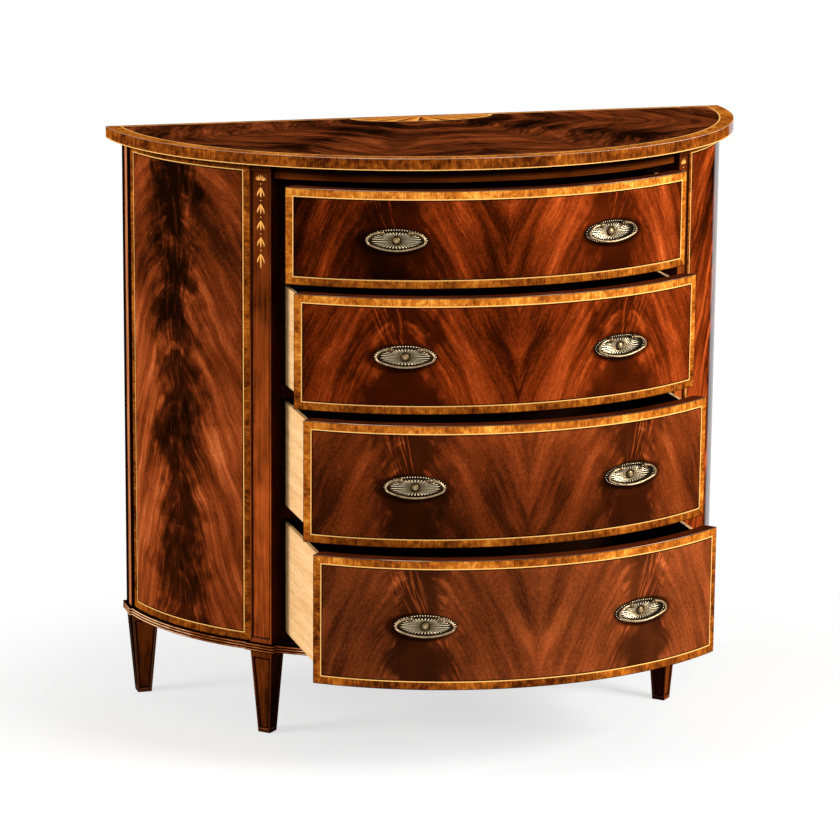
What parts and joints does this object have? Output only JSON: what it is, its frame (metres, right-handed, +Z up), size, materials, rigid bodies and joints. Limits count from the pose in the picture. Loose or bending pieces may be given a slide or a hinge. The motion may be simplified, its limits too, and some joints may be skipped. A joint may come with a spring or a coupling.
{
  "type": "demilune chest of drawers",
  "caption": "Half-oval chest of drawers in figured mahogany on tapered legs, with bow-fronted drawers that slide out and brass bail pulls that swing.",
  "frame": {"origin": "on the floor under the middle of the whole box at rest, with the drawers standing open", "axes": "+X to the right along the back, +Y to the back, +Z up; the drawers slide out along -Y"},
  "size_m": [1.016, 0.6414, 0.908],
  "materials": {
    "mahogany_veneer": "glossy lacquer over figured veneer",
    "mahogany": "glossy lacquer",
    "drawer_wood": "satin, pale quartered wood",
    "case_wood": "plain stained secondary wood",
    "antique_brass": "dark antique brass, rubbed bright on the high spots",
    "steel": "plain"
  },
  "bodies": {
    "case": {"top_panel": "mahogany_veneer", "frieze_rail": "mahogany_veneer", "back_panel": "case_wood", "left_back_stile": "mahogany", "left_side_panel": "mahogany_veneer", "left_post": "mahogany", "upper_rail": "mahogany", "middle_rail": "mahogany", "lower_rail": "mahogany", "base_rail": "mahogany", "left_partition": "case_wood", "drawer_runners": "case_wood", "top_kickers": "case_wood", "top_screws": "steel", "base_board": "mahogany", "base_moulding": "mahogany", "left_front_leg": "mahogany", "left_back_leg": "mahogany", "right_back_stile": "mahogany", "right_side_panel": "mahogany_veneer", "right_post": "mahogany", "right_partition": "case_wood", "right_front_leg": "mahogany", "right_back_leg": "mahogany"},
    "drawer_1": {"drawer_1_front": "mahogany_veneer", "drawer_1_left_side": "drawer_wood", "drawer_1_right_side": "drawer_wood", "drawer_1_back": "drawer_wood", "drawer_1_bottom": "drawer_wood", "drawer_1_backplates": "antique_brass", "drawer_1_pull_bolts": "antique_brass"},
    "left_bail_1": {"drawer_1_left_bail": "antique_brass"},
    "right_bail_1": {"drawer_1_right_bail": "antique_brass"},
    "drawer_2": {"drawer_2_front": "mahogany_veneer", "drawer_2_left_side": "drawer_wood", "drawer_2_right_side": "drawer_wood", "drawer_2_back": "drawer_wood", "drawer_2_bottom": "drawer_wood", "drawer_2_backplates": "antique_brass", "drawer_2_pull_bolts": "antique_brass"},
    "left_bail_2": {"drawer_2_left_bail": "antique_brass"},
    "right_bail_2": {"drawer_2_right_bail": "antique_brass"},
    "drawer_3": {"drawer_3_front": "mahogany_veneer", "drawer_3_left_side": "drawer_wood", "drawer_3_right_side": "drawer_wood", "drawer_3_back": "drawer_wood", "drawer_3_bottom": "drawer_wood", "drawer_3_backplates": "antique_brass", "drawer_3_pull_bolts": "antique_brass"},
    "left_bail_3": {"drawer_3_left_bail": "antique_brass"},
    "right_bail_3": {"drawer_3_right_bail": "antique_brass"},
    "drawer_4": {"drawer_4_front": "mahogany_veneer", "drawer_4_left_side": "drawer_wood", "drawer_4_right_side": "drawer_wood", "drawer_4_back": "drawer_wood", "drawer_4_bottom": "drawer_wood", "drawer_4_backplates": "antique_brass", "drawer_4_pull_bolts": "antique_brass"},
    "left_bail_4": {"drawer_4_left_bail": "antique_brass"},
    "right_bail_4": {"drawer_4_right_bail": "antique_brass"}
  },
  "joints": [
    {"name": "drawer_1_slide", "type": "slide", "parent": "case", "child": "drawer_1", "axis": [0, -1, 0], "range_m": [-0.059, 0.181]},
    {"name": "left_bail_1_swing", "type": "hinge", "parent": "drawer_1", "child": "left_bail_1", "pos_m": [-0.16895, -0.13791, 0.8034], "axis": [-0.9519, 0.3066, 0], "range_deg": [0, 85]},
    {"name": "right_bail_1_swing", "type": "hinge", "parent": "drawer_1", "child": "right_bail_1", "pos_m": [0.16895, -0.13791, 0.8034], "axis": [-0.9519, -0.3066, 0], "range_deg": [0, 85]},
    {"name": "drawer_2_slide", "type": "slide", "parent": "case", "child": "drawer_2", "axis": [0, -1, 0], "range_m": [-0.11, 0.13]},
    {"name": "left_bail_2_swing", "type": "hinge", "parent": "drawer_2", "child": "left_bail_2", "pos_m": [-0.16895, -0.18891, 0.63875], "axis": [-0.9519, 0.3066, 0], "range_deg": [0, 85]},
    {"name": "right_bail_2_swing", "type": "hinge", "parent": "drawer_2", "child": "right_bail_2", "pos_m": [0.16895, -0.18891, 0.63875], "axis": [-0.9519, -0.3066, 0], "range_deg": [0, 85]},
    {"name": "drawer_3_slide", "type": "slide", "parent": "case", "child": "drawer_3", "axis": [0, -1, 0], "range_m": [-0.166, 0.074]},
    {"name": "left_bail_3_swing", "type": "hinge", "parent": "drawer_3", "child": "left_bail_3", "pos_m": [-0.16895, -0.24491, 0.45485], "axis": [-0.9519, 0.3066, 0], "range_deg": [0, 85]},
    {"name": "right_bail_3_swing", "type": "hinge", "parent": "drawer_3", "child": "right_bail_3", "pos_m": [0.16895, -0.24491, 0.45485], "axis": [-0.9519, -0.3066, 0], "range_deg": [0, 85]},
    {"name": "drawer_4_slide", "type": "slide", "parent": "case", "child": "drawer_4", "axis": [0, -1, 0], "range_m": [-0.2235, 0.0165]},
    {"name": "left_bail_4_swing", "type": "hinge", "parent": "drawer_4", "child": "left_bail_4", "pos_m": [-0.16895, -0.30241, 0.25995], "axis": [-0.9519, 0.3066, 0], "range_deg": [0, 85]},
    {"name": "right_bail_4_swing", "type": "hinge", "parent": "drawer_4", "child": "right_bail_4", "pos_m": [0.16895, -0.30241, 0.25995], "axis": [-0.9519, -0.3066, 0], "range_deg": [0, 85]}
  ]
}
